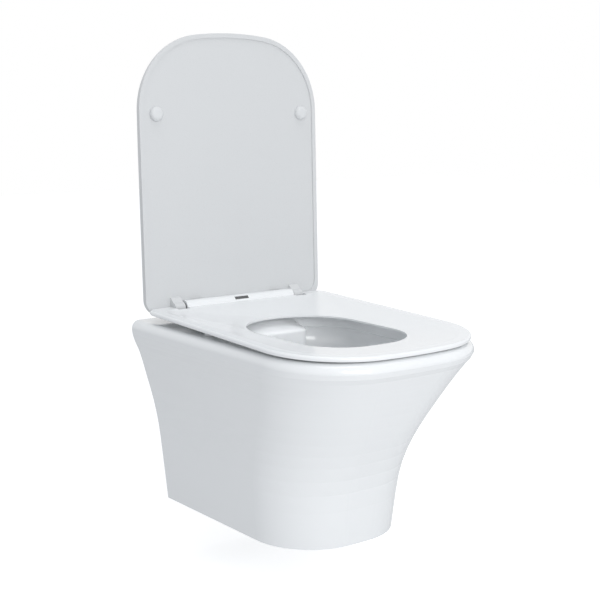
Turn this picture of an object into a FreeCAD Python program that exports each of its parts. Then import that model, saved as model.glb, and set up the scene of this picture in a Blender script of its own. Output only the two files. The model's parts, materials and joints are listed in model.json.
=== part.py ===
"""Wall hung toilet: parametric model in millimetres.

Frame: +X to the right as one faces the pan's front from the room, +Y into the wall, +Z up.
The origin is midway between the two wall studs, on the wall plane. The seat is down and the lid
stands open, leaning back towards the wall.
"""
import FreeCAD, Part
import math
import os
import re
import Sketcher

os.makedirs("parts", exist_ok=True)
doc = FreeCAD.newDocument("wall_hung_toilet")
V = FreeCAD.Vector

# ---------------------------------------------------------------- driving dimensions
SIZES = {
    # pan, outside
    "deck_z": 80.0,             # deck and rim above the studs
    "pan_height": 302.0,
    "rim_edge": 13.0,           # rounding of the rim's outer edge
    "pan_wall": 10.0,
    "deck_slab": 14.0,
    # bowl
    "bowl_wall": 9.0,
    "mouth_half_width": 128.0,
    "mouth_rear": 104.0,
    "mouth_front": 432.0,
    "mouth_rear_corner": 75.0,
    "mouth_front_corner": 100.0,
    "mouth_nose": 330.0,
    "lip_height": 22.0,         # plain rim wall above the flushing channel
    "channel_height": 32.0,
    "channel_depth": 6.0,
    # water distributor
    "spreader_half_width": 58.0,
    "spreader_front": 146.0,
    "spreader_bottom_z": 6.0,
    "spreader_round": 11.0,
    "spreader_bore_r": 11.0,
    "spreader_bore_back": 22.0, # from the block's front to its bore
    # plumbing
    "inlet_z": 35.0,
    "inlet_r": 27.5,
    "inlet_bore_r": 22.5,
    "outlet_z": -100.0,
    "outlet_r": 51.0,
    "outlet_bore_r": 43.0,
    "spigot_length": 40.0,      # reach of horn and spigot that a pipe or sleeve slides over
    "spigot_setback": 6.0,      # horn and spigot end this far in front of the wall
    "spigot_throat": 6.0,       # ring where the trapway widens into the spigot
    "horn_shoulder": 5.0,       # the horn is this much thicker past the pipe's reach
    "trap_bore_r": 24.0,
    "trap_wall": 7.0,
    "trap_foot_y": 222.0,       # the trapway's runs: out of the sump, up over the weir, down to the spigot
    "trap_foot_z": 178.0,
    "trap_rise_y": 172.0,
    "trap_rise_z": 176.0,
    "weir_y": 112.0,
    "weir_z": 62.0,
    "fall_y": 62.0,
    "elbow_swell": 0.4,
    # wall fixing
    "stud_x": 90.0,
    "stud_hole_r": 6.5,
    "lug_hole_r": 12.0,
    "lug_depth": 42.0,
    "lug_half_height": 30.0,
    "lug_inward": 26.0,
    "lug_outward": 56.0,
    "reach_half_width": 100.0,  # slot in the bottom for reaching the nuts
    "reach_front": 78.0,
    "reach_rear": 20.0,
    "sleeve_flange": 3.0,
    "sleeve_flange_r": 18.0,
    "washer_r": 15.0,
    "washer_thick": 2.5,
    "nut_flats": 19.0,
    "nut_thick": 10.0,
    # hinge
    "hinge_y": 34.0,            # hinge axis in front of the wall
    "hinge_z": 98.0,
    "post_x": 77.5,             # half of the 155 mm hole spacing
    "deck_hole_r": 7.0,
    "foot_r": 18.0,
    "foot_thick": 4.0,
    "foot_chamfer": 1.5,
    "post_r": 3.0,
    "thread_r": 3.5,
    "thread_reach": 20.0,       # below the deck
    "bush_bulge": 3.0,
    "bush_grip": 9.0,
    "bush_nut_thick": 7.0,
    "post_cap": 1.2,            # least wall between post hole and axle
    "post_end_gap": 2.8,
    "barrel_r": 11.0,
    "barrel_half": 104.5,
    "axle_r": 4.0,
    "block_r": 7.5,
    "block_half": 11.0,
    "block_end": 2.0,
    "neck_half_width": 6.5,
    "neck_half_depth": 5.5,
    "house_half_width": 9.5,
    "house_front": 12.0,        # these four from the hinge axis
    "house_rear": 9.5,
    "button_slot_front": 10.5,
    "button_front": 7.0,
    "house_wall": 1.2,
    "bay_gap": 1.0,
    "running": 0.05,            # radial running clearance of the axles
    "slide_gap": 0.3,
    "post_clearance": 0.1,
    "button_width": 12.0,
    "button_thick": 2.6,
    "button_travel": 2.0,
    "leaf_r": 6.4,
    "leaf_thick": 0.4,
    "bush_wall": 2.5,
    "damper_wall": 3.5,
    # seat
    "tilt": 1.5,                # the seat's plane falls this much towards the front, in degrees
    "seat_half_width": 172.5,
    "seat_rear": 5.5,           # behind the hinge axis
    "seat_front": 436.0,        # in front of the hinge axis
    "seat_corner": 125.0,
    "seat_nose": 560.0,
    "seat_rear_corner": 20.0,
    "seat_under": 5.0,          # underside below the hinge axis
    "seat_thick": 7.2,
    "seat_edge": 3.2,
    "seat_rim": 15.0,           # flat border before the top falls towards the opening
    "seat_edge_wall": 6.0,      # plain border of the underside
    "hole_border": 5.0,
    "hole_rear_ease": 4.0,      # the opening's rear is this much short of a half round
    "hole_half_width": 93.0,
    "hole_rear": 128.0,
    "hole_front": 389.0,
    "hole_corner": 78.0,
    "hole_nose": 260.0,
    "hole_lip_z": 81.4,
    "hole_lip": 2.6,
    # lid
    "lean": 2.2,                # open lid behind upright, in degrees
    "lid_gap": 4.3,
    "lid_half_width": 169.5,
    "lid_rear": 9.4,
    "lid_front": 429.0,
    "lid_corner": 119.0,
    "lid_nose": 560.0,
    "lid_rear_corner": 25.0,
    "lid_thick": 12.0,
    "lid_tip_thick": 8.5,
    "lid_taper_start": 250.0,
    "lid_edge": 4.5,
    "lid_recess": 2.0,
    "lid_border": 7.0,
    "lug_inner": 107.0,
    "lug_width": 18.0,
    "lug_r": 9.0,
    "lug_toe": 16.0,
    "lug_slot_gap": 1.3,
    "lug_slot_front": 2.5,
    "lug_collar": 2.0,          # lug wall that closes the outer end of bush and damper
    "bay_clearance": 0.7,
    "barrel_clearance": 0.6,
    # buffers and inlay, placed from the wall and the hinge axis
    "lid_buffer_x": 139.0,
    "lid_buffer_y": 303.0,
    "lid_buffer_r": 11.5,
    "lid_buffer_round": 6.0,
    "lid_buffer_z": 0.65,       # tip above the hinge axis when closed
    "seat_buffer_r": 8.0,
    "front_buffer_x": 70.0,
    "front_buffer_y": 445.0,
    "front_buffer_top": 5.0,    # above the deck, inside the seat
    "rear_buffer_x": 148.0,
    "rear_buffer_y": 175.0,
    "rear_buffer_top": 12.0,
    "inlay_half": 13.0,
    "inlay_thick": 0.8,
    "inlay_from": 26.0,         # degrees above the axis, on the barrel's front
    "inlay_to": 54.0,
}

# skirt, key sections: drop below the deck, half width at the wall, taper of each side towards the
# front, depth from the wall, front corner, nose radius; more sections are worked out between them
SKIRT = [
    (14.0, 180.5, 6.0, 474.0, 126.0, 900.0),
    (30.0, 177.0, 6.0, 462.0, 124.0, 850.0),
    (53.0, 167.0, 5.5, 446.0, 120.0, 700.0),
    (93.0, 155.0, 5.0, 420.0, 118.0, 600.0),
    (133.0, 143.5, 4.5, 396.0, 116.0, 500.0),
    (173.0, 135.0, 4.0, 374.0, 111.0, 450.0),
    (218.0, 129.0, 3.5, 357.0, 105.0, 420.0),
    (302.0, 119.0, 3.0, 347.0, 98.0, 400.0),
]

# bowl, sections below the channel: height, half width, rear, front, rear corner, front corner, nose
BOWL = [
    (26.0, 126.0, 106.0, 430.0, 74.0, 98.0, 330.0),
    (-30.0, 90.0, 134.0, 366.0, 60.0, 72.0, 250.0),
    (-90.0, 56.0, 164.0, 298.0, 42.0, 46.0, 160.0),
    (-150.0, 38.0, 190.0, 262.0, 30.0, 31.0, 120.0),
    (-205.0, 31.0, 200.0, 248.0, 22.0, 22.0, 100.0),
]

SKIRT_STEPS = (2, 3, 3, 2, 2, 2, 3)   # walls from each key section to the next
SKIRT_NAMES = ("drop", "half", "taper", "depth", "corner", "nose")
BOWL_NAMES = ("z", "half", "rear", "front", "rear_corner", "front_corner", "nose")

sheet = doc.addObject("Spreadsheet::Sheet", "sizes")


def write_sheet():
    rows = list(SIZES.items())
    for k, section in enumerate(SKIRT):
        rows += [(f"skirt_{name}_{k}_mm", value) for name, value in zip(SKIRT_NAMES, section)]
    for k, section in enumerate(BOWL):
        rows += [(f"bowl_{name}_{k}_mm", value) for name, value in zip(BOWL_NAMES, section)]
    for row, (alias, value) in enumerate(rows, start=1):
        sheet.set(f"A{row}", alias)
        sheet.set(f"B{row}", str(value))
        sheet.setAlias(f"B{row}", alias)
    doc.recompute()
    return {alias for alias, _ in rows}


ALIASES = write_sheet()


def bound(text):
    """The expression with each alias written as a cell of the sheet."""
    text = str(text)
    return re.sub(r"[a-z_][a-z0-9_]*", lambda m: "sizes." + m[0] if m[0] in ALIASES else m[0], text)


def number(text):
    """The value of an expression over the sheet."""
    return float(sheet.evalExpression(bound(text)))


def bind(obj, **properties):
    for path, text in properties.items():
        obj.setExpression(path.replace("__", "."), bound(text))
    return obj


def at(obj, x="0", y="0", z="0"):
    return bind(obj, Placement__Base__x=x, Placement__Base__y=y, Placement__Base__z=z)


# ---------------------------------------------------------------- small makers
TURNS = {
    "x": FreeCAD.Rotation(V(0, 1, 0), 90),
    "y": FreeCAD.Rotation(V(1, 0, 0), -90),
    "z": FreeCAD.Rotation(),
}


def cylinder(name, radius, length, x="0", y="0", z="0", along="z"):
    solid = doc.addObject("Part::Cylinder", name)
    solid.Placement = FreeCAD.Placement(V(), TURNS[along])
    bind(solid, Radius=radius, Height=length)
    return at(solid, x, y, z)


def box(name, x, y, z):
    """A box from three (low, high) pairs of expressions."""
    solid = doc.addObject("Part::Box", name)
    bind(solid, Length=f"({x[1]}) - ({x[0]})", Width=f"({y[1]}) - ({y[0]})", Height=f"({z[1]}) - ({z[0]})")
    return at(solid, x[0], y[0], z[0])


def cut(name, base, *tools):
    tool = tools[0] if len(tools) == 1 else fuse(name + "_tools", *tools)
    result = doc.addObject("Part::Cut", name)
    result.Base = base
    result.Tool = tool
    return result


def fuse(name, *shapes):
    result = doc.addObject("Part::MultiFuse", name)
    result.Shapes = list(shapes)
    return result


def common(name, *shapes):
    result = doc.addObject("Part::MultiCommon", name)
    result.Shapes = list(shapes)
    return result


def mirror(name, source):
    result = doc.addObject("Part::Mirroring", name)
    result.Source = source
    result.Normal = V(1, 0, 0)
    return result


def both(name, source):
    """A piece and its mirror image, as one group of separate solids."""
    group = doc.addObject("Part::Compound", name)
    group.Links = [source, mirror(name + "_mirror", source)]
    return group


def loft(name, *sections):
    result = doc.addObject("Part::Loft", name)
    result.Sections = list(sections)
    result.Solid = True
    return result


def ruled(name, *sections):
    """A solid with straight walls from each section to the next."""
    result = loft(name, *sections)
    result.Ruled = True
    return result


def extrude(name, sketch, length):
    """The sketch pulled along its own normal."""
    result = doc.addObject("Part::Extrusion", name)
    result.Base = sketch
    result.DirMode = "Normal"
    result.Solid = True
    return bind(result, LengthFwd=length)


def fillet(name, base, radius, pick, kind="Part::Fillet"):
    """Round the edges for which pick(edge) is true."""
    doc.recompute()
    result = doc.addObject(kind, name)
    result.Base = base
    size = number(radius)
    result.Edges = [(i, size, size) for i, edge in enumerate(base.Shape.Edges, start=1) if pick(edge)]
    return result


def join(sketch, first, second, smooth):
    kind = "Tangent" if smooth else "Coincident"
    sketch.addConstraint(Sketcher.Constraint(kind, first, 2, second, 1))


def dimension(sketch, name, text, constraint):
    index = sketch.addConstraint(constraint)
    sketch.renameConstraint(index, name)
    sketch.setExpression(f"Constraints.{name}", bound(text))


def d_outline(name, half, front, corner, nose, rear="0", rear_corner=None, flare=None):
    """A closed D in the sketch plane, rear and front measured from the origin towards -Y.

    Straight sides run to two corner arcs, and a flatter nose arc joins those. With rear_corner
    the two rear corners are round as well. Corners and nose meet tangentially. With flare the
    outline is that much wider on each side at its rear.
    """
    w, f, c, n, r = (number(text) for text in (half, front, corner, nose, rear))
    q = number(rear_corner) if rear_corner else 0.0
    out = w + number(flare) if flare else w
    up = V(0, 0, 1)
    centre_y = n - f
    corner_y = centre_y - math.sqrt((n - c) ** 2 - (w - c) ** 2)
    swing = math.atan2(corner_y - centre_y, w - c)

    def arc(x, y, radius, start, end):
        return Part.ArcOfCircle(Part.Circle(V(x, y, 0), up, radius), start, end)

    outline = [
        Part.LineSegment(V(-out, -r - q, 0), V(-w, corner_y, 0)),
        arc(c - w, corner_y, c, math.pi, math.pi - swing),
        arc(0, centre_y, n, -math.pi - swing, swing),
        arc(w - c, corner_y, c, swing, 0),
        Part.LineSegment(V(w, corner_y, 0), V(out, -r - q, 0)),
    ]
    if q:
        outline.append(arc(w - q, -r - q, q, 0, math.pi / 2))
    outline.append(Part.LineSegment(V(out - q, -r, 0), V(q - out, -r, 0)))
    if q:
        outline.append(arc(q - w, -r - q, q, math.pi / 2, math.pi))
    sketch = doc.addObject("Sketcher::SketchObject", name)
    sketch.addGeometry(outline, False)
    back = 6 if q else 5
    for i in range(len(outline)):
        j = (i + 1) % len(outline)
        join(sketch, i, j, bool(q) or (i != back and j != back))
    tip = sketch.addGeometry(Part.Point(V(0, -f, 0)), True)
    rule = Sketcher.Constraint
    sketch.addConstraint([
        rule("Horizontal", back), rule("Symmetric", 0, 2, 4, 1, -2), rule("Equal", 1, 3),
        rule("PointOnObject", tip, 1, -2), rule("PointOnObject", tip, 1, 2),
    ])
    if flare:
        dimension(sketch, "rear_left", f"{half} + {flare}", rule("DistanceX", 0, 1, -1, 1, out))
        dimension(sketch, "rear_right", f"{half} + {flare}", rule("DistanceX", -1, 1, 4, 2, out))
    else:
        sketch.addConstraint([rule("Vertical", 0), rule("Vertical", 4)])
    dimension(sketch, "half_width", half, rule("DistanceX", -1, 1, 4, 1, w))
    dimension(sketch, "front", front, rule("DistanceY", tip, 1, -1, 1, f))
    dimension(sketch, "corner", corner, rule("Radius", 3, c))
    dimension(sketch, "nose", nose, rule("Radius", 2, n))
    if q:
        sketch.addConstraint(rule("Equal", 5, 7))
        dimension(sketch, "rear_corner", rear_corner, rule("Radius", 5, q))
    if r > 0:
        dimension(sketch, "rear", rear, rule("DistanceY", back, 1, -1, 1, r))
    elif r < 0:
        dimension(sketch, "rear", f"-({rear})", rule("DistanceY", -1, 1, back, 1, -r))
    else:
        sketch.addConstraint(rule("PointOnObject", back, 1, -1))
    return sketch


def polygon(name, points, x):
    """A closed polygon of (y, z) points in the plane at x, square to X."""
    sketch = doc.addObject("Sketcher::SketchObject", name)
    sketch.Placement = FreeCAD.Placement(V(), FreeCAD.Rotation(V(1, 1, 1), 120))
    corners = [V(number(y), number(z), 0) for y, z in points]
    for first, second in zip(corners, corners[1:] + corners[:1]):
        sketch.addGeometry(Part.LineSegment(first, second), False)
    for i in range(len(corners)):
        join(sketch, i, (i + 1) % len(corners), False)
    for i, (y, z) in enumerate(points):
        for axis, text in (("X", y), ("Y", z)):
            index = sketch.addConstraint(Sketcher.Constraint("Distance" + axis, -1, 1, i, 1, number(text)))
            sketch.setExpression(f"Constraints[{index}]", bound(text))
    return bind(sketch, Placement__Base__x=x)


# ---------------------------------------------------------------- pan
def between(field, k, t):
    """A smooth curve through the skirt's key values, at t from key k to key k + 1.

    It is a cubic with the neighbours' slopes, and the first key's slope is nil, so that the
    skirt leaves the rim's upright band without a crease.
    """
    def key(i):
        return f"skirt_{field}_{i}_mm"

    def slope(i):
        if i == 0:
            return "0"
        low, high = i - 1, min(i + 1, len(SKIRT) - 1)
        return f"(({key(high)} - {key(low)}) / (skirt_drop_{high}_mm - skirt_drop_{low}_mm))"

    span = f"(skirt_drop_{k + 1}_mm - skirt_drop_{k}_mm)"
    start, end = 1 - 3 * t ** 2 + 2 * t ** 3, 3 * t ** 2 - 2 * t ** 3
    leave, arrive = t - 2 * t ** 2 + t ** 3, t ** 3 - t ** 2
    return (f"{start:.4f} * {key(k)} + {end:.4f} * {key(k + 1)}"
            f" + {span} * ({leave:.4f} * {slope(k)} + ({arrive:.4f}) * {slope(k + 1)})")


def skirt_section(name, k, t, inset="0"):
    """The skirt's horizontal outline at t between two keys, moved inwards by inset."""
    size = {field: f"({between(field, k, t)})" for field in SKIRT_NAMES[1:]} if t else {
        field: f"skirt_{field}_{k}_mm" for field in SKIRT_NAMES[1:]}
    drop = f"skirt_drop_{k}_mm" + (f" + {t} * (skirt_drop_{k + 1}_mm - skirt_drop_{k}_mm)" if t else "")
    sketch = d_outline(name, f"{size['half']} - {size['taper']} - {inset}", f"{size['depth']} - {inset}",
                       f"{size['corner']} - {inset}", f"{size['nose']} - {inset}", flare=size["taper"])
    return at(sketch, z=f"deck_z - ({drop})")


def make_skirt():
    """The rounded outer body, and the space inside its walls."""
    last = len(SKIRT) - 1
    levels = [(k, i / SKIRT_STEPS[k]) for k in range(last) for i in range(SKIRT_STEPS[k])] + [(last, 0)]
    sections = [skirt_section(f"skirt_{i}", k, t) for i, (k, t) in enumerate(levels)]
    band = extrude("rim_band", skirt_section("band_outline", 0, 0), "skirt_drop_0_mm")
    body = fuse("skirt_body", ruled("skirt_solid", *sections), band)
    top = number("deck_z")
    rounded = fillet("skirt_rounded", body, "rim_edge",
                     lambda edge: edge.BoundBox.ZMin > top - 0.01 and edge.BoundBox.YMin < -1)
    inner = ruled("cavity_solid", *[skirt_section(f"cavity_{k}", k, 0, "pan_wall") for k in range(last + 1)])
    space = box("cavity_space", ("-skirt_half_0_mm", "skirt_half_0_mm"), ("-skirt_depth_0_mm", "1"),
                ("deck_z - pan_height + pan_wall", "deck_z - deck_slab"))
    return rounded, common("cavity", inner, space)


def mouth(name, grow, z):
    sketch = d_outline(name, f"mouth_half_width + {grow}", f"mouth_front + {grow}",
                       f"mouth_front_corner + {grow}", f"mouth_nose + {grow}",
                       f"mouth_rear - {grow}", f"mouth_rear_corner + {grow}")
    return at(sketch, z=z)


def bowl_section(k, grow="0"):
    """The bowl's outline at one height; a grown one also lies that much lower."""
    size = {name: f"bowl_{name}_{k}_mm" for name in BOWL_NAMES}
    sketch = d_outline(f"bowl_{'inner' if grow == '0' else 'outer'}_{k}",
                       f"{size['half']} + {grow}", f"{size['front']} + {grow}",
                       f"{size['front_corner']} + {grow}", f"{size['nose']} + {grow}",
                       f"{size['rear']} - {grow}", f"{size['rear_corner']} + {grow}")
    return at(sketch, z=f"{size['z']} - {grow}")


def make_bowl():
    """The bowl's outer bodies and its hollows: well, flushing channel and mouth."""
    channel_top = "deck_z - lip_height"
    floor = "bowl_z_0_mm"
    body = ruled("bowl_body", *[bowl_section(k, "bowl_wall") for k in range(len(BOWL))])
    collar_outline = mouth("collar_outline", "channel_depth + bowl_wall", f"{floor} - bowl_wall")
    collar = extrude("bowl_collar", collar_outline, f"deck_z - deck_slab + 1 - {floor} + bowl_wall")
    well = loft("bowl_well", *[bowl_section(k) for k in range(len(BOWL))])
    channel = extrude("channel", mouth("channel_outline", "channel_depth", floor), f"{channel_top} - {floor}")
    opening = extrude("mouth", mouth("mouth_outline", "0", f"{channel_top} - 1"), "lip_height + 2")
    return [body, collar], [well, channel, opening]


def elbows(name, radius, points):
    """Straight runs through (y, z) points in the plane X = 0, with a ball at each bend."""
    pieces = []
    for i, ((y0, z0), (y1, z1)) in enumerate(zip(points, points[1:])):
        run = doc.addObject("Part::Cylinder", f"{name}_run_{i}")
        heading = V(0, number(f"({y1}) - ({y0})"), number(f"({z1}) - ({z0})"))
        run.Placement = FreeCAD.Placement(V(), FreeCAD.Rotation(V(0, 0, 1), heading))
        bind(run, Radius=radius, Height=f"sqrt((({y1}) - ({y0}))^2 + (({z1}) - ({z0}))^2)")
        pieces.append(at(run, y=y0, z=z0))
        if i:
            ball = doc.addObject("Part::Sphere", f"{name}_ball_{i}")
            pieces.append(at(bind(ball, Radius=f"{radius} + elbow_swell"), y=y0, z=z0))
    return pieces


def cut_in_turn(name, base, *tools):
    """Cut with one tool after another; the last result has the name."""
    for i, tool in enumerate(tools[:-1]):
        base = cut(f"{name}_step_{i}", base, tool)
    return cut(name, base, tools[-1])


def make_plumbing():
    """Trapway, spigot and horn: their bodies, the trapway's hollows and the horn's bore."""
    setback = "spigot_setback"
    route = [("-trap_foot_y", "-trap_foot_z"), ("-trap_rise_y", "-trap_rise_z"), ("-weir_y", "-weir_z"),
             ("-fall_y", "outlet_z"), (f"-{setback} - 20", "outlet_z")]
    trap_body = elbows("trap_body", "trap_bore_r + trap_wall", route)
    trap_hole = fuse("trap_hole", *elbows("trap_hole", "trap_bore_r", route))
    spigot_start = f"-{setback} - spigot_length"
    spigot = cylinder("spigot", "outlet_r", "spigot_length", y=spigot_start, z="outlet_z", along="y")
    spigot_bore = cylinder("spigot_bore", "outlet_bore_r", "spigot_length", y=spigot_start + " + spigot_throat",
                           z="outlet_z", along="y")
    horn = cylinder("horn", "inlet_r", f"mouth_rear - {setback}", y="-mouth_rear", z="inlet_z", along="y")
    horn_root = cylinder("horn_root", "inlet_r + horn_shoulder", f"mouth_rear - {setback} - spigot_length",
                         y="-mouth_rear", z="inlet_z", along="y")
    horn_bore = cylinder("horn_bore", "inlet_bore_r", "spreader_front - spreader_bore_back", z="inlet_z",
                         y="-spreader_front + spreader_bore_back", along="y")
    return [*trap_body, spigot, horn, horn_root], [trap_hole, spigot_bore], horn_bore


def make_spreader():
    """The water distributor at the bowl's rear, and the bore through it."""
    top = "deck_z - lip_height"
    front = number("-spreader_front")
    lip = number(top)
    block = box("spreader_block", ("-spreader_half_width", "spreader_half_width"),
                ("-spreader_front", "-mouth_rear + channel_depth + 4"), ("spreader_bottom_z", top + " + 4"))
    rounded = fillet("spreader", block, "spreader_round", lambda edge: edge.BoundBox.YMax < front + 0.1
                     and (edge.BoundBox.ZLength > 5 or edge.BoundBox.ZMin > lip))
    bore = cylinder("spreader_bore", "spreader_bore_r", "2 * spreader_half_width + 2",
                    x="-spreader_half_width - 1", y="-spreader_front + spreader_bore_back",
                    z=f"(spreader_bottom_z + {top}) / 2", along="x")
    return rounded, bore


def make_pan():
    skirt, cavity = make_skirt()
    bowl, hollows = make_bowl()
    pipes, waterways, horn_bore = make_plumbing()
    spreader, spreader_bore = make_spreader()
    lug = box("lug", ("stud_x - lug_inward", "stud_x + lug_outward"), ("-lug_depth", "0"),
              ("-lug_half_height", "lug_half_height"))
    shell = cut("shell", skirt, cavity)
    basin = common("basin", fuse("basin_solids", *bowl), skirt)
    cast = fuse("cast", shell, basin, *pipes, lug, mirror("lug_mirror", lug))
    lug_hole = cylinder("lug_hole", "lug_hole_r", "lug_depth + 2", x="stud_x", y="-lug_depth - 1", along="y")
    deck_hole = cylinder("deck_hole", "deck_hole_r", "deck_slab + 2", x="post_x", y="-hinge_y",
                         z="deck_z - deck_slab - 1")
    reach_slot = box("reach_slot", ("-reach_half_width", "reach_half_width"), ("-reach_front", "-reach_rear"),
                     ("deck_z - pan_height - 1", "deck_z - pan_height + pan_wall + 1"))
    carved = cut_in_turn("carved", cast, *hollows, *waterways, lug_hole, mirror("lug_hole_mirror", lug_hole),
                         deck_hole, mirror("deck_hole_mirror", deck_hole), reach_slot)
    return cut_in_turn("pan", fuse("with_spreader", carved, spreader), horn_bore, spreader_bore)


# ---------------------------------------------------------------- wall fixing
def make_wall_fixing():
    """Sleeve, washer and nut of one stud, each with its mirror image."""
    barrel = cylinder("sleeve_barrel", "lug_hole_r", "lug_depth", x="stud_x", y="-lug_depth", along="y")
    flange = cylinder("sleeve_collar", "sleeve_flange_r", "sleeve_flange", x="stud_x",
                      y="-lug_depth - sleeve_flange", along="y")
    bore = cylinder("sleeve_bore", "stud_hole_r", "lug_depth + 20", x="stud_x", y="-lug_depth - 10", along="y")
    sleeve = cut("sleeve", fuse("sleeve_solid", barrel, flange), bore)
    face = "-lug_depth - sleeve_flange - washer_thick"
    disc = cylinder("washer_disc", "washer_r", "washer_thick", x="stud_x", y=face, along="y")
    washer = cut("washer", disc, cylinder("washer_bore", "stud_hole_r", "washer_thick + 2", x="stud_x",
                                          y=face + " - 1", along="y"))
    prism = doc.addObject("Part::Prism", "nut_prism")
    prism.Polygon = 6
    prism.Placement = FreeCAD.Placement(V(), TURNS["y"])
    bind(prism, Circumradius="nut_flats / 1.7320508", Height="nut_thick")
    at(prism, x="stud_x", y=face + " - nut_thick")
    nut = cut("nut", prism, cylinder("nut_bore", "stud_hole_r", "nut_thick + 2", x="stud_x",
                                     y=face + " - nut_thick - 1", along="y"))
    return [both("wall_sleeves", sleeve), both("wall_washers", washer), both("wall_nuts", nut)]


# ---------------------------------------------------------------- hinge
def upright(name, radius, low, high):
    return cylinder(name, radius, f"({high}) - ({low})", x="post_x", y="-hinge_y", z=low)


def make_hinge_fixing():
    """What stands in the deck: foot disc, post, rubber bush and nut."""
    foot_top = "deck_z + foot_thick"
    under = "deck_z - deck_slab"
    disc = fillet("foot_disc", upright("foot_blank", "foot_r", "deck_z", foot_top), "foot_chamfer",
                  lambda edge: edge.BoundBox.ZMin > number(foot_top) - 0.01, "Part::Chamfer")
    foot = cut("foot", disc, upright("foot_bore", "thread_r", "deck_z - 1", foot_top + " + 1"))
    post = fuse("post", upright("post_thread", "thread_r", under + " - thread_reach", foot_top),
                upright("post_pin", "post_r", foot_top, "hinge_z - axle_r - post_cap - post_end_gap"))
    grip = under + " - bush_grip"
    bush = cut("bush", fuse("bush_solid", upright("bush_neck", "deck_hole_r", under, "deck_z"),
                            upright("bush_bulge", "deck_hole_r + bush_bulge", grip, under)),
               upright("bush_bore", "thread_r", grip + " - 1", "deck_z + 1"))
    nut = cut("bush_nut", upright("bush_nut_disc", "deck_hole_r", grip + " - bush_nut_thick", grip),
              upright("bush_nut_bore", "thread_r", grip + " - bush_nut_thick - 1", grip + " + 1"))
    return [both("hinge_feet", foot), both("hinge_posts", post), both("hinge_bushes", bush),
            both("hinge_nuts", nut)]


def axis_rod(name, radius, start, end):
    """A cylinder on the hinge axis between two X positions."""
    return cylinder(name, radius, f"({end}) - ({start})", x=start, y="-hinge_y", z="hinge_z", along="x")


BLOCK_LOW = "deck_z + foot_thick + slide_gap"
BUTTON_LOW = BLOCK_LOW + " + house_wall"
SLOT_FRONT = "-hinge_y - button_slot_front"
BUTTON_FRONT = "-hinge_y - button_front"


def make_block():
    """The housing on the right post: axle sleeve, neck, and the button's housing."""
    sleeve = axis_rod("block_sleeve", "block_r", "post_x - block_half", "post_x + block_half")
    neck = box("block_neck", ("post_x - neck_half_width", "post_x + neck_half_width"),
               ("-hinge_y - neck_half_depth", "-hinge_y + neck_half_depth"), (BLOCK_LOW, "hinge_z"))
    house = box("block_house", ("post_x - house_half_width", "post_x + house_half_width"),
                ("-hinge_y - house_front", "-hinge_y + house_rear"),
                (BLOCK_LOW, BUTTON_LOW + " + button_thick + house_wall"))
    slot = box("block_slot",
               ("post_x - button_width / 2 - slide_gap", "post_x + button_width / 2 + slide_gap"),
               (SLOT_FRONT, "-hinge_y + house_rear + 1"),
               (BUTTON_LOW + " - slide_gap", BUTTON_LOW + " + button_thick + slide_gap"))
    hole = upright("block_hole", "post_r + post_clearance", BLOCK_LOW + " - 1", "hinge_z - axle_r - post_cap")
    rod = axis_rod("block_bore", "axle_r", "post_x - block_half + block_end", "post_x + block_half + 1")
    return cut("block", fuse("block_solid", sleeve, neck, house), slot, hole, rod)


def make_button():
    plate = box("button_plate", ("post_x - button_width / 2", "post_x + button_width / 2"),
                (BUTTON_FRONT, "-hinge_y + house_rear + button_travel"),
                (BUTTON_LOW, BUTTON_LOW + " + button_thick"))
    gap = box("button_gap", ("post_x - post_r - slide_gap", "post_x + post_r + slide_gap"),
              ("-hinge_y - post_r - slide_gap", "-hinge_y + post_r + slide_gap + button_travel"),
              (BUTTON_LOW + " - 1", BUTTON_LOW + " + button_thick + 1"))
    return cut("button", plate, gap)


def make_spring():
    """A bowed leaf: its crown presses on the button and its two ends on the slot's front wall."""
    low, high = BUTTON_LOW, BUTTON_LOW + " + button_thick"
    centre = f"({BUTTON_FRONT}) - leaf_r"
    outer = cylinder("leaf_outer", "leaf_r", "button_thick", x="post_x", y=centre, z=low)
    inner = cylinder("leaf_inner", "leaf_r - leaf_thick", "button_thick + 2", x="post_x", y=centre,
                     z=low + " - 1")
    span = box("leaf_span", ("post_x - leaf_r - 1", "post_x + leaf_r + 1"),
               (SLOT_FRONT, BUTTON_FRONT + " + 1"), (low, high))
    return common("release_spring", cut("leaf_ring", outer, inner), span)


def make_hinge_moving():
    block = make_block()
    axle = axis_rod("axle", "axle_r", "post_x - block_half + block_end", "lug_inner + lug_width - 3")
    button = make_button()
    nodes = []
    for name, source in (("hinge_block", block), ("axle", axle), ("release_button", button),
                         ("release_spring", make_spring())):
        source.Label = name + "_right"
        other = mirror(name + "_other", source)
        other.Label = name + "_left"
        nodes += [source, other]
    return nodes


def tube(name, radius, start, end):
    rod = axis_rod(name + "_rod", radius, start, end)
    bore = axis_rod(name + "_bore", "axle_r + running", f"({start}) - 1", f"({end}) + 1")
    return cut(name, rod, bore)


BAY_OUT = "post_x + block_half + bay_gap"
BAY_IN = "post_x - block_half - bay_gap"
LUG_OUT = "lug_inner + lug_width"
BUSH_R = "axle_r + bush_wall"
DAMPER_R = "axle_r + damper_wall"


def make_bearings():
    """Bush and damper of the seat and of the lid; the dampers sit on opposite sides."""
    seat_bush = tube("seat_bush", BUSH_R, BAY_OUT, "barrel_half")
    seat_damper = tube("seat_damper", DAMPER_R, "-barrel_half", f"-({BAY_OUT})")
    lid_bush = tube("lid_bush", BUSH_R, f"-({LUG_OUT}) + lug_collar", "-lug_inner")
    lid_damper = tube("lid_damper", DAMPER_R, "lug_inner", f"{LUG_OUT} - lug_collar")
    return [seat_bush, seat_damper, lid_bush, lid_damper]


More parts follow.
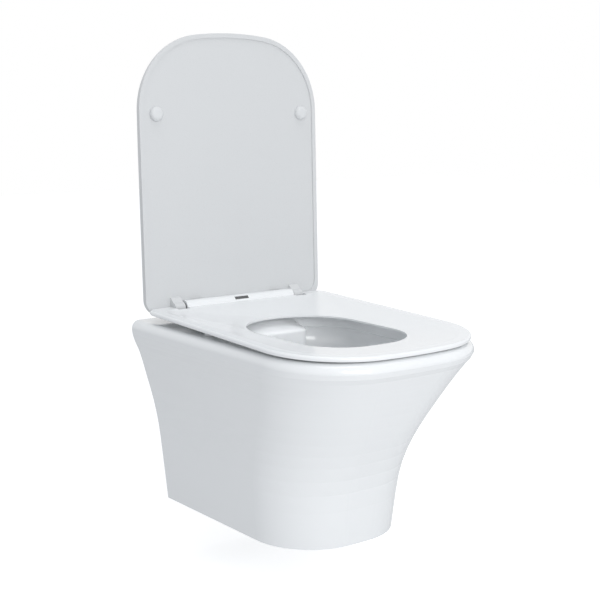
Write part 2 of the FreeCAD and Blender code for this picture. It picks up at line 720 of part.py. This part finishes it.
# ---------------------------------------------------------------- seat
def tilted(sketch, height):
    """Put a sketch in the seat's falling plane, height above the hinge axis."""
    angle = number("tilt")
    sketch.Placement = FreeCAD.Placement(V(), FreeCAD.Rotation(V(1, 0, 0), angle))
    return at(sketch, y=f"-hinge_y - ({height}) * sin(tilt * 1deg)",
              z=f"hinge_z + ({height}) * cos(tilt * 1deg)")


def seat_outline(name, inset, rear, height):
    sketch = d_outline(name, f"seat_half_width - {inset}", f"seat_front - {inset}", f"seat_corner - {inset}",
                       f"seat_nose - {inset}", rear, "seat_rear_corner")
    return tilted(sketch, height)


def hole_outline(name, grow, z):
    sketch = d_outline(name, f"hole_half_width + {grow}", f"hole_front + {grow}", f"hole_corner + {grow}",
                       f"hole_nose + {grow}", f"hole_rear - {grow}",
                       f"hole_half_width - hole_rear_ease + {grow}")
    return at(sketch, z=z)


def make_bays():
    """The openings in the hinge barrel that the two hinge blocks and the lid's lugs turn in."""
    reach = "(barrel_r + 14)"
    wedge = [("-hinge_y", "hinge_z"), (f"-hinge_y + {reach} * cos(66deg)", f"hinge_z + {reach} * sin(66deg)"),
             (f"-hinge_y + {reach}", f"hinge_z + {reach}"), (f"-hinge_y + {reach}", f"hinge_z - {reach}"),
             (f"-hinge_y - {reach}", f"hinge_z - {reach}"),
             (f"-hinge_y - {reach} * cos(25deg)", f"hinge_z - {reach} * sin(25deg)")]
    bay = fuse("bay", axis_rod("bay_round", "block_r + bay_clearance", BAY_IN, BAY_OUT),
               extrude("bay_wedge", polygon("bay_wedge_outline", wedge, BAY_IN), f"({BAY_OUT}) - ({BAY_IN})"))
    slot = box("lug_slot", ("barrel_half", f"{LUG_OUT} + lug_slot_gap"),
               ("-hinge_y - lug_toe - lug_slot_front", "-hinge_y + seat_rear + 1"),
               ("hinge_z - barrel_r", "hinge_z + barrel_r"))
    return [bay, mirror("bay_mirror", bay), slot, mirror("lug_slot_mirror", slot)]


def make_seat(bays, buffers):
    """The seat ring: a rounded slab whose top falls to the opening and whose underside is a hollow cone."""
    slab = extrude("seat_slab", seat_outline("seat_outer", "0", "-seat_rear", "-seat_under"), "seat_thick")
    slab = fillet("seat_slab_rounded", slab, "seat_edge", lambda edge: is_top_edge(edge, slab))
    under = ruled("seat_under_cone",
                  seat_outline("seat_cone_top", "seat_edge_wall", "-seat_rear + seat_edge_wall",
                               "-seat_under + 0.5"),
                  hole_outline("seat_cone_low", "hole_border", "hole_lip_z"))
    funnel = ruled("seat_funnel",
                   seat_outline("seat_funnel_top", "seat_rim", "barrel_r + 4", "seat_thick - seat_under + 0.1"),
                   hole_outline("seat_funnel_low", "0", "hole_lip_z + hole_lip"))
    hole = extrude("seat_hole", hole_outline("seat_hole_outline", "0", "deck_z"), "hinge_z - deck_z")
    ring = cut("seat_plate", fuse("seat_solid", slab, under), funnel, hole)
    return cut("seat_ring", ring, axis_rod("barrel_seat", "barrel_r", "-barrel_half", "barrel_half"), *bays,
               *buffers)


def make_barrel(bays, inlay):
    """The hinge barrel along the seat's rear, hollow at its ends for bush and damper."""
    barrel = axis_rod("barrel_rod", "barrel_r", "-barrel_half", "barrel_half")
    bush_seat = axis_rod("seat_bush_seat", BUSH_R, f"{BAY_OUT} - 0.5", "barrel_half + 1")
    damper_seat = axis_rod("seat_damper_seat", DAMPER_R, "-barrel_half - 1", f"-({BAY_OUT}) + 0.5")
    return cut("seat_barrel", barrel, *bays, bush_seat, damper_seat, inlay)


def is_top_edge(edge, slab):
    """True for the edges that bound the slab's upper face."""
    top = max(slab.Shape.Faces, key=lambda face: face.CenterOfMass.z)
    return any(edge.isSame(other) for other in top.Edges)


def make_inlay():
    outer = axis_rod("inlay_outer", "barrel_r", "-inlay_half", "inlay_half")
    inner = axis_rod("inlay_inner", "barrel_r - inlay_thick", "-inlay_half - 1", "inlay_half + 1")
    reach = "2 * barrel_r"
    ends = [("-hinge_y", "hinge_z")]
    ends += [(f"-hinge_y - {reach} * cos({edge} * 1deg)", f"hinge_z + {reach} * sin({edge} * 1deg)")
             for edge in ("inlay_from", "inlay_to")]
    wedge = extrude("inlay_wedge", polygon("inlay_wedge_outline", ends, "-inlay_half"), "2 * inlay_half")
    return common("seat_inlay", cut("inlay_tube", outer, inner), wedge)


def make_seat_buffers():
    pairs = []
    for name in ("front", "rear"):
        pad = cylinder(f"seat_pad_{name}", "seat_buffer_r", f"{name}_buffer_top - slide_gap",
                       x=f"{name}_buffer_x", y=f"-{name}_buffer_y", z="deck_z + slide_gap")
        pairs.append(both(f"seat_buffers_{name}", pad))
    return pairs


# ---------------------------------------------------------------- lid, built closed and flat, then turned open
def lid_outline(name, inset, rear, height):
    sketch = d_outline(name, f"lid_half_width - {inset}", f"lid_front - {inset}", f"lid_corner - {inset}",
                       f"lid_nose - {inset}", rear, "lid_rear_corner")
    return at(sketch, z=height)


LID_FACE = "(seat_thick - seat_under + lid_gap)"


def shape_lid_plate():
    """The lid's plate: its back falls towards the tip, its outer edges are round, its inside is dished."""
    plate = extrude("lid_plate", lid_outline("lid_outer", "0", "-lid_rear", LID_FACE), "lid_thick")
    back = f"{LID_FACE} + lid_thick"
    slope = "(lid_thick - lid_tip_thick) / (lid_front - lid_taper_start)"
    wedge = [("-lid_taper_start", back), ("-lid_taper_start", back + " + lid_thick"),
             ("-lid_front - lid_thick", back + " + lid_thick"),
             ("-lid_front - lid_thick", f"{LID_FACE} + lid_tip_thick - lid_thick * {slope}")]
    shave = extrude("lid_shave", polygon("lid_shave_outline", wedge, "-lid_half_width - 1"),
                    "2 * lid_half_width + 2")
    edge_low = number(LID_FACE) + number("lid_edge")
    bend_y = -number("lid_taper_start")

    def outer_rim(edge):
        bounds = edge.BoundBox
        at_bend = abs(bounds.YMin - bend_y) < 0.1 and bounds.YLength < 0.1
        upright_edge = bounds.ZLength > number("lid_thick") / 2
        return bounds.ZMin > edge_low and not at_bend and not upright_edge

    rounded = fillet("lid_rounded", cut("lid_shaped", plate, shave), "lid_edge", outer_rim)
    dish = extrude("lid_dish", lid_outline("lid_dish_outline", "lid_border", "-lid_rear + lid_border",
                                           f"{LID_FACE} - 1"), "lid_recess + 1")
    return cut("lid_shell", rounded, dish)


def make_lid():
    root = f"{LID_FACE} + 3"
    toe = [("-lug_toe", root), ("-lug_toe", f"{LID_FACE} - 0.5"), ("-lug_r", "-1"), ("lug_r", "-1"),
           ("lug_r", root)]
    lug = fuse("lid_lug", cylinder("lid_eye", "lug_r", "lug_width", x="lug_inner", along="x"),
               extrude("lid_web", polygon("lid_web_outline", toe, "lug_inner"), "lug_width"))
    whole = fuse("lid_whole", shape_lid_plate(), lug, mirror("lid_lug_mirror", lug))
    clear = cylinder("lid_barrel_clear", "barrel_r + barrel_clearance", "2 * lug_inner - 2", x="-lug_inner + 1",
                     along="x")
    notch = box("lid_notch", ("-lug_inner + 1", "lug_inner - 1"), ("2", "lid_rear + 1"),
                ("0", f"{LID_FACE} + 7"))
    depth = "lug_width - lug_collar"
    bush_seat = cylinder("lid_bush_seat", BUSH_R, depth, x=f"-({LUG_OUT}) + lug_collar", along="x")
    damper_seat = cylinder("lid_damper_seat", DAMPER_R, depth, x="lug_inner", along="x")
    return open_lid(cut("lid", whole, clear, notch, bush_seat, damper_seat))


def make_lid_buffers():
    tip = number("lid_buffer_z")
    pad = cylinder("lid_pad", "lid_buffer_r", f"{LID_FACE} + lid_recess - lid_buffer_z", x="lid_buffer_x",
                   y="-lid_buffer_y", z="lid_buffer_z")
    dome = fillet("lid_dome", pad, "lid_buffer_round",
                  lambda edge: edge.BoundBox.ZMax < tip + 0.1 and len(edge.Vertexes) == 1)
    return open_lid(both("lid_buffers", dome))


def open_lid(piece):
    """Turn a piece of the closed, flat lid up to its open rest pose on the hinge axis."""
    piece.Placement = FreeCAD.Placement(V(), FreeCAD.Rotation(V(1, 0, 0), -90 - number("lean")))
    return at(piece, y="-hinge_y", z="hinge_z")


# ---------------------------------------------------------------- build, check, export
def main():
    inlay = make_inlay()
    seat_buffers = make_seat_buffers()
    bearings = make_bearings()
    nodes = [make_pan()]
    nodes += make_wall_fixing()
    nodes += make_hinge_fixing()
    nodes += make_hinge_moving()
    nodes += bearings
    bays = make_bays()
    nodes += [make_seat(bays, seat_buffers), make_barrel(bays, inlay), inlay, *seat_buffers, make_lid(),
              make_lid_buffers()]
    doc.recompute()
    faults = [obj.Name for obj in doc.Objects if "Invalid" in obj.State or "Error" in obj.State]
    for node in nodes:
        shape = node.Shape
        if shape.isNull() or not shape.isValid() or not shape.Solids:
            faults.append(node.Label)
    if faults:
        raise SystemExit("not built: " + ", ".join(faults))
    for node in nodes:
        node.Shape.exportStep(f"parts/{node.Label}.step")
        print(node.Label, len(node.Shape.Solids), round(node.Shape.Volume))


main()
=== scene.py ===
"""Looks for the wall hung toilet: camera, light, floor, finishes and the glaze inside the rim."""

import json
import math

import bpy
from mathutils import Matrix, Vector


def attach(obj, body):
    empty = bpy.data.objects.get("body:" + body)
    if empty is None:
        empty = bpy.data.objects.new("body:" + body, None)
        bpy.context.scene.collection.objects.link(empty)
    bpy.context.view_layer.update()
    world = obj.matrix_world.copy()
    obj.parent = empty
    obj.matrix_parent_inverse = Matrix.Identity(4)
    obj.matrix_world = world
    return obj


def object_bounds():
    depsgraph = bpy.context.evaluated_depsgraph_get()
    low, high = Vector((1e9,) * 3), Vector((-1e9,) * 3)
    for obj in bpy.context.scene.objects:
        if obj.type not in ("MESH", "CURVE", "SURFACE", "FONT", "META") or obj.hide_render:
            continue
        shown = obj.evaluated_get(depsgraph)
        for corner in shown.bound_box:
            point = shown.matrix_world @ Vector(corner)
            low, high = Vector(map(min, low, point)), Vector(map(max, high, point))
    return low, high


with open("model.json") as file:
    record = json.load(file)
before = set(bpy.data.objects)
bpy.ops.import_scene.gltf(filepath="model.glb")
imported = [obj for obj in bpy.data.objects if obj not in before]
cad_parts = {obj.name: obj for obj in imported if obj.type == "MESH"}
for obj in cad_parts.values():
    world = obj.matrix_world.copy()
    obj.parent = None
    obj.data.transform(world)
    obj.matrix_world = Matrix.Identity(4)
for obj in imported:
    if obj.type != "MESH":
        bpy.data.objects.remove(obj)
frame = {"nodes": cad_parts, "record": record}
cad_low, cad_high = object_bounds()

# ---------------------------------------------------------------- camera
IMAGE_PIXELS = 600
FOCAL_PIXELS = 1231.3
SENSOR_MM = 36.0
CAMERA_PLACE = Vector((-1.1193, -1.6755, 0.4298))
YAW, PITCH, ROLL = (math.radians(a) for a in (37.17, 9.444, 0.198))


def make_camera():
    data = bpy.data.cameras.new("camera")
    data.sensor_width = SENSOR_MM
    data.lens = FOCAL_PIXELS * SENSOR_MM / IMAGE_PIXELS
    forward = Vector((math.sin(YAW) * math.cos(PITCH), math.cos(YAW) * math.cos(PITCH), -math.sin(PITCH)))
    level = Vector((math.cos(YAW), -math.sin(YAW), 0))
    right = level * math.cos(ROLL) + level.cross(forward) * math.sin(ROLL)
    turn = Matrix((right, right.cross(forward), -forward)).transposed().to_4x4()
    camera = bpy.data.objects.new("camera", data)
    camera.matrix_world = Matrix.Translation(CAMERA_PLACE) @ turn
    bpy.context.scene.collection.objects.link(camera)
    bpy.context.scene.camera = camera


# ---------------------------------------------------------------- node trees
class Tree:
    """A few calls that keep node set-ups short."""

    def __init__(self, owner):
        owner.use_nodes = True
        self.nodes = owner.node_tree.nodes
        self.links = owner.node_tree.links

    def add(self, kind, **inputs):
        """A new node; each input is a number or colour, or another node's output."""
        node = self.nodes.new(kind)
        for name, value in inputs.items():
            socket = node.inputs[name.replace("_", " ")]
            if isinstance(value, bpy.types.NodeSocket):
                self.links.new(value, socket)
            else:
                socket.default_value = value
        return node

    def join(self, source, target):
        self.links.new(source, target)

    def combine(self, operation, first, second):
        """The output of a maths node on an output and on another output or a number."""
        node = self.nodes.new("ShaderNodeMath")
        node.operation = operation
        self.join(first, node.inputs[0])
        if isinstance(second, bpy.types.NodeSocket):
            self.join(second, node.inputs[1])
        else:
            node.inputs[1].default_value = second
        return node.outputs[0]


# ---------------------------------------------------------------- finishes
COOL_RED, COOL_GREEN = 0.975, 0.99    # as shares of the blue, in whites and greys
CLOUD_SCALE = 9.0                     # of the slow change of colour
WAVE_SCALE = 22.0                     # of the waves in a glaze
MIX_FIRST, MIX_SECOND, MIX_RESULT = 6, 7, 2   # the colour sockets of a mix node


def grey_blue(value):
    """A slightly cool white or grey of that linear value."""
    return (COOL_RED * value, COOL_GREEN * value, value, 1.0)


def finish_material(name, base, roughness, coat=0.0, coat_roughness=0.05, metallic=0.0, spread=0.02,
                    grain=400.0, depth=0.0, wave=0.0, rough_spread=0.04):
    """A procedural finish: cloudy colour and gloss, fine grain and, for a glaze, slow waves.

    Spread and rough_spread are how much colour and roughness vary, grain is the scale of the fine
    noise, and depth and wave are the heights of grain and waves in metres.
    """
    material = bpy.data.materials.new(name)
    tree = Tree(material)
    shader = tree.nodes["Principled BSDF"]
    shader.inputs["Metallic"].default_value = metallic
    shader.inputs["Coat Weight"].default_value = coat
    shader.inputs["Coat Roughness"].default_value = coat_roughness
    place = tree.add("ShaderNodeTexCoord").outputs["Object"]
    cloud = tree.add("ShaderNodeTexNoise", Vector=place, Scale=CLOUD_SCALE, Detail=3.0).outputs["Fac"]
    tint = tree.add("ShaderNodeMapRange", Value=cloud, To_Min=1.0 - spread, To_Max=1.0)
    colour = tree.nodes.new("ShaderNodeMix")
    colour.data_type = "RGBA"
    colour.blend_type = "MULTIPLY"
    colour.inputs["Factor"].default_value = 1.0
    colour.inputs[MIX_FIRST].default_value = base
    tree.join(tint.outputs["Result"], colour.inputs[MIX_SECOND])
    tree.join(colour.outputs[MIX_RESULT], shader.inputs["Base Color"])
    fine = tree.add("ShaderNodeTexNoise", Vector=place, Scale=grain, Detail=2.0).outputs["Fac"]
    gloss = tree.add("ShaderNodeMapRange", Value=fine, To_Min=roughness, To_Max=roughness + rough_spread)
    tree.join(gloss.outputs["Result"], shader.inputs["Roughness"])
    normal = None
    if wave:
        slow = tree.add("ShaderNodeTexNoise", Vector=place, Scale=WAVE_SCALE, Detail=1.0).outputs["Fac"]
        bump = tree.add("ShaderNodeBump", Strength=1.0, Distance=wave, Height=slow)
        normal = bump.outputs["Normal"]
    if depth:
        bump = tree.add("ShaderNodeBump", Strength=1.0, Distance=depth, Height=fine)
        if normal:
            tree.join(normal, bump.inputs["Normal"])
        normal = bump.outputs["Normal"]
    if normal:
        tree.join(normal, shader.inputs["Normal"])
    return material


GLAZE = {"coat": 0.5, "coat_roughness": 0.02, "spread": 0.012, "wave": 0.00012}
MOULDED = {"grain": 900.0, "depth": 0.00001}
COARSE = {"grain": 700.0, "depth": 0.00002}
RUBBER = {"grain": 1200.0, "depth": 0.00003}

# for each slot, and for two pieces of their own: the material's name, its colour, roughness and the rest
FINISHES = {
    "vitreous_china": ("glazed_china", grey_blue(0.89), 0.10, GLAZE),
    # the glaze inside the bowl is the same china painted lighter, as painted light where little lamp
    # light reaches into the bowl
    "bowl_glaze_painted_light": ("bowl_glaze_painted_light", grey_blue(0.97), 0.10, GLAZE),
    "seat_plastic": ("seat_plastic", grey_blue(0.90), 0.22, {"coat": 0.25, "spread": 0.008, **MOULDED}),
    # the lid is the seat's plastic painted darker, as painted shade on the inside of the raised lid
    "lid": ("lid_plastic_painted_shade", grey_blue(0.69), 0.26, {"coat": 0.15, "spread": 0.008, **MOULDED}),
    "white_plastic": ("white_plastic", grey_blue(0.76), 0.30, MOULDED),
    "grey_plastic": ("grey_plastic", grey_blue(0.10), 0.38, {"grain": 900.0, "depth": 0.00002}),
    "bush_plastic": ("bush_plastic", grey_blue(0.60), 0.45, COARSE),
    "damper_plastic": ("damper_plastic", grey_blue(0.14), 0.42, COARSE),
    "black_plastic": ("black_plastic", grey_blue(0.03), 0.45, COARSE),
    "white_rubber": ("white_rubber", grey_blue(0.74), 0.52, RUBBER),
    "black_rubber": ("black_rubber", grey_blue(0.025), 0.62, RUBBER),
    "steel": ("steel", (0.56, 0.56, 0.57, 1), 0.30, {"metallic": 1.0, "grain": 1500.0, "depth": 0.00001}),
    "chrome_metal": ("chrome", (0.78, 0.79, 0.81, 1), 0.07, {"metallic": 1.0, "rough_spread": 0.03}),
}


def make_materials():
    return {key: finish_material(name, base, roughness, **rest)
            for key, (name, base, roughness, rest) in FINISHES.items()}


def dress(materials):
    """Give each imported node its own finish, or else that of its slot."""
    for part in frame["record"]["subparts"]:
        node = frame["nodes"][part["node"]]
        node.data.materials.clear()
        node.data.materials.append(materials.get(part["node"]) or materials[part["material_slot"]])


# ---------------------------------------------------------------- glaze inside the rim, in mm
MM_PER_METRE = 1000
# outlines of the pan's mouth and of the bowl at two heights: half width, how far rear and front lie
# before Y = 0, and the radii of rear corner, front corner and front arc
MOUTH = (128.0, 104.0, 432.0, 75.0, 100.0, 330.0)
BOWL_TOP = (126.0, 106.0, 430.0, 74.0, 98.0, 330.0)
BOWL_MIDDLE = (90.0, 134.0, 366.0, 60.0, 72.0, 250.0)
BOWL_TOP_Z, BOWL_MIDDLE_Z = 26.0, -30.0
# the nose over the distributor: half width, Y of its front, corner radius, and radius at its foot,
# where it meets the bowl's wall
NOSE_HALF, NOSE_FRONT, NOSE_CORNER, NOSE_FOOT = 61.0, -147.0, 17.0, 9.0
NOSE_REACH = NOSE_HALF + NOSE_FOOT
NOSE_TOP_Z, NOSE_SLOPE = 79.0, 19.0    # where its slope starts, and the height that the slope takes
SLOPE_HEIGHTS = [78.0 - 1.5 * i for i in range(12)]    # of the rings on that slope
INSIDE = 0.8                           # between the glaze and the pan's own wall
SKIN = 0.0005                          # thickness of the glaze, in metres
NOSE_SAMPLES = (12, 14, 8, 10)         # along the nose's front, corner, side and foot
WALL_SAMPLES = (24, 18, 24, 16)        # along rear corner, side, front corner and front arc
# height, distance inside the outline (less than nil in the flushing groove) and share of the nose
GLAZE_ROWS = [
    (79.3, 0.3, 0.0),
    *[(z, INSIDE, 0.5 - 0.5 * math.cos(math.pi * (NOSE_TOP_Z - z) / NOSE_SLOPE)) for z in SLOPE_HEIGHTS],
    (60.0, INSIDE, 1.0), (58.6, 0.7, 1.0), (58.0, 0.2, 1.0),
    (57.2, -1.2, 1.0), (55.5, -2.8, 1.0), (53.0, -4.1, 1.0), (50.0, -4.9, 1.0), (46.0, -5.2, 1.0),
    (42.0, -5.0, 1.0), (38.0, -4.2, 1.0), (34.0, -2.8, 1.0), (31.0, -1.2, 1.0), (28.5, 0.2, 1.0),
    *[(z, INSIDE, 1.0) for z in (26.0, 22.0, 17.0, 12.0, 8.0, 5.5)],
    (4.2, INSIDE, 0.94), (3.4, INSIDE, 0.7), (3.0, 0.4, 0.3), (2.8, -1.0, 0.0), (2.6, -3.0, 0.0),
]


def steps(first, last, count):
    """Even steps from first up to, but without, last."""
    return [first + (last - first) * i / count for i in range(count)]


def arc(x, y, radius, start, end, count):
    return [(x + radius * math.cos(a), y + radius * math.sin(a)) for a in steps(start, end, count)]


def nose_outline(foot_y):
    """The nose's right half, from its middle to where it meets the bowl's wall."""
    front, corner, side, foot = NOSE_SAMPLES
    corner_x, corner_y = NOSE_HALF - NOSE_CORNER, NOSE_FRONT + NOSE_CORNER
    points = [(x, NOSE_FRONT) for x in steps(0, corner_x, front)]
    points += arc(corner_x, corner_y, NOSE_CORNER, -math.pi / 2, 0, corner)
    points += [(NOSE_HALF, y) for y in steps(corner_y, foot_y, side)]
    return points + arc(NOSE_REACH, foot_y, NOSE_FOOT, math.pi, math.pi / 2, foot)


def glaze_half(outline, inside, share):
    """Points from the middle of the rear round the right side to the middle of the front."""
    half, rear, front, *radii = outline
    half, rear, front = half - inside, rear + inside, front - inside
    rear_corner, front_corner, front_arc = (radius - inside for radius in radii)
    bend_x, bend_y = half - rear_corner, -rear - rear_corner

    def wall(x):
        """Y of the bowl's rear wall or its corner at x, without the nose."""
        return bend_y + math.sqrt(rear_corner ** 2 - max(0.0, x - bend_x) ** 2)

    bulge = nose_outline(wall(NOSE_REACH) - NOSE_FOOT)
    flat = [(x, wall(x)) for x in steps(0, NOSE_REACH, len(bulge))]
    points = [tuple(a + share * (b - a) for a, b in zip(*pair)) for pair in zip(flat, bulge)]
    centre_y = front_arc - front
    turn_y = centre_y - math.sqrt((front_arc - front_corner) ** 2 - (half - front_corner) ** 2)
    swing = math.atan2(turn_y - centre_y, half - front_corner)
    start = math.acos((NOSE_REACH - bend_x) / rear_corner)
    rear_count, side_count, corner_count, arc_count = WALL_SAMPLES
    points += arc(bend_x, bend_y, rear_corner, start, 0, rear_count)
    points += [(half, y) for y in steps(bend_y, turn_y, side_count)]
    points += arc(half - front_corner, turn_y, front_corner, 0, swing, corner_count)
    points += arc(0, centre_y, front_arc, swing, -math.pi / 2, arc_count)
    return points + [(0.0, -front)]


def glaze_row(z, inside, share):
    """One level ring of the glaze, in metres."""
    if z > BOWL_TOP_Z:
        outline = MOUTH
    else:
        low = (BOWL_TOP_Z - z) / (BOWL_TOP_Z - BOWL_MIDDLE_Z)
        outline = [a + low * (b - a) for a, b in zip(BOWL_TOP, BOWL_MIDDLE)]
    right = glaze_half(outline, inside, share)
    ring = right + [(-x, y) for x, y in reversed(right[1:-1])]
    return [(x / MM_PER_METRE, y / MM_PER_METRE, z / MM_PER_METRE) for x, y in ring]


def make_glaze(material):
    """The smooth glaze that shows inside the rim: nose over the distributor, and flushing groove."""
    rows = [glaze_row(*row) for row in GLAZE_ROWS]
    count = len(rows[0])
    faces = []
    for i in range(len(rows) - 1):
        upper, lower = i * count, (i + 1) * count
        faces += [(upper + j, lower + j, lower + (j + 1) % count, upper + (j + 1) % count)
                  for j in range(count)]
    mesh = bpy.data.meshes.new("bowl_glaze_painted_light")
    mesh.from_pydata([point for row in rows for point in row], [], faces)
    mesh.polygons.foreach_set("use_smooth", [True] * len(faces))
    # its finish is the china painted lighter: painted light inside the bowl
    mesh.materials.append(material)
    glaze = bpy.data.objects.new("bowl_glaze_painted_light", mesh)
    bpy.context.scene.collection.objects.link(glaze)
    skin = glaze.modifiers.new("skin", "SOLIDIFY")
    skin.thickness = SKIN
    skin.offset = -1.0
    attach(glaze, "pan_body")


# ---------------------------------------------------------------- surroundings
SOFT_COLOUR, SOFT_STRENGTH = (0.93, 0.96, 1.0, 1), 0.64   # light from all round
BACKDROP = 1.0         # what the camera and reflections see past the object
FLOOR_DROP = 0.10      # gap between a wall hung pan and the floor
FLOOR_SIZE = 14
FLOOR_PAINT, FLOOR_ROUGHNESS = 0.82, 0.9
FLOOR_LIFT = 0.52      # glow where the camera sees the floor, so that it reads as the backdrop
AIM = (0, -0.25, 0.05)
# name, place, size and power
LAMPS = [
    ("front", (-0.5, -2.8, 0.9), (1.6, 1.2), 27),
    ("top", (-0.1, -0.5, 2.4), (1.4, 1.4), 11),
]


def make_world():
    """Soft light from all round, and a white backdrop for the camera and for reflections."""
    world = bpy.data.worlds.new("studio")
    bpy.context.scene.world = world
    tree = Tree(world)
    soft = tree.nodes["Background"]
    soft.inputs["Color"].default_value = SOFT_COLOUR
    soft.inputs["Strength"].default_value = SOFT_STRENGTH
    seen = tree.add("ShaderNodeBackground", Color=(1, 1, 1, 1), Strength=BACKDROP)
    path = tree.nodes.new("ShaderNodeLightPath").outputs
    mirror = tree.combine("MAXIMUM", path["Is Glossy Ray"], path["Is Transmission Ray"])
    either = tree.combine("MAXIMUM", path["Is Camera Ray"], mirror)
    mix = tree.nodes.new("ShaderNodeMixShader")
    for source, socket in zip((either, soft.outputs[0], seen.outputs[0]), mix.inputs):
        tree.join(source, socket)
    tree.join(mix.outputs[0], tree.nodes["World Output"].inputs["Surface"])


def make_floor():
    """A pale floor that reads as the white backdrop, but for the object's soft shadow."""
    bpy.ops.mesh.primitive_plane_add(size=FLOOR_SIZE, location=(0, 0, cad_low.z - FLOOR_DROP))
    floor = bpy.context.object
    floor.name = "floor"
    material = bpy.data.materials.new("floor_white")
    tree = Tree(material)
    paint = tree.nodes["Principled BSDF"]
    paint.inputs["Base Color"].default_value = (FLOOR_PAINT, FLOOR_PAINT, FLOOR_PAINT, 1)
    paint.inputs["Roughness"].default_value = FLOOR_ROUGHNESS
    path = tree.nodes.new("ShaderNodeLightPath").outputs
    share = tree.combine("MULTIPLY", path["Is Camera Ray"], FLOOR_LIFT)
    lift = tree.add("ShaderNodeEmission", Color=(1, 1, 1, 1), Strength=share)
    total = tree.nodes.new("ShaderNodeAddShader")
    tree.join(paint.outputs[0], total.inputs[0])
    tree.join(lift.outputs[0], total.inputs[1])
    tree.join(total.outputs[0], tree.nodes["Material Output"].inputs["Surface"])
    floor.data.materials.append(material)


def make_lights():
    for name, place, size, power in LAMPS:
        data = bpy.data.lights.new(name, "AREA")
        data.shape = "RECTANGLE"
        data.size, data.size_y = size
        data.energy = power
        light = bpy.data.objects.new(name, data)
        light.location = place
        light.rotation_mode = "QUATERNION"
        light.rotation_quaternion = (Vector(AIM) - Vector(place)).to_track_quat("-Z", "Y")
        bpy.context.scene.collection.objects.link(light)


# ---------------------------------------------------------------- put together
make_camera()
finishes = make_materials()
dress(finishes)
make_glaze(finishes["bowl_glaze_painted_light"])
make_world()
make_floor()
make_lights()
bpy.context.scene.view_settings.view_transform = "Standard"
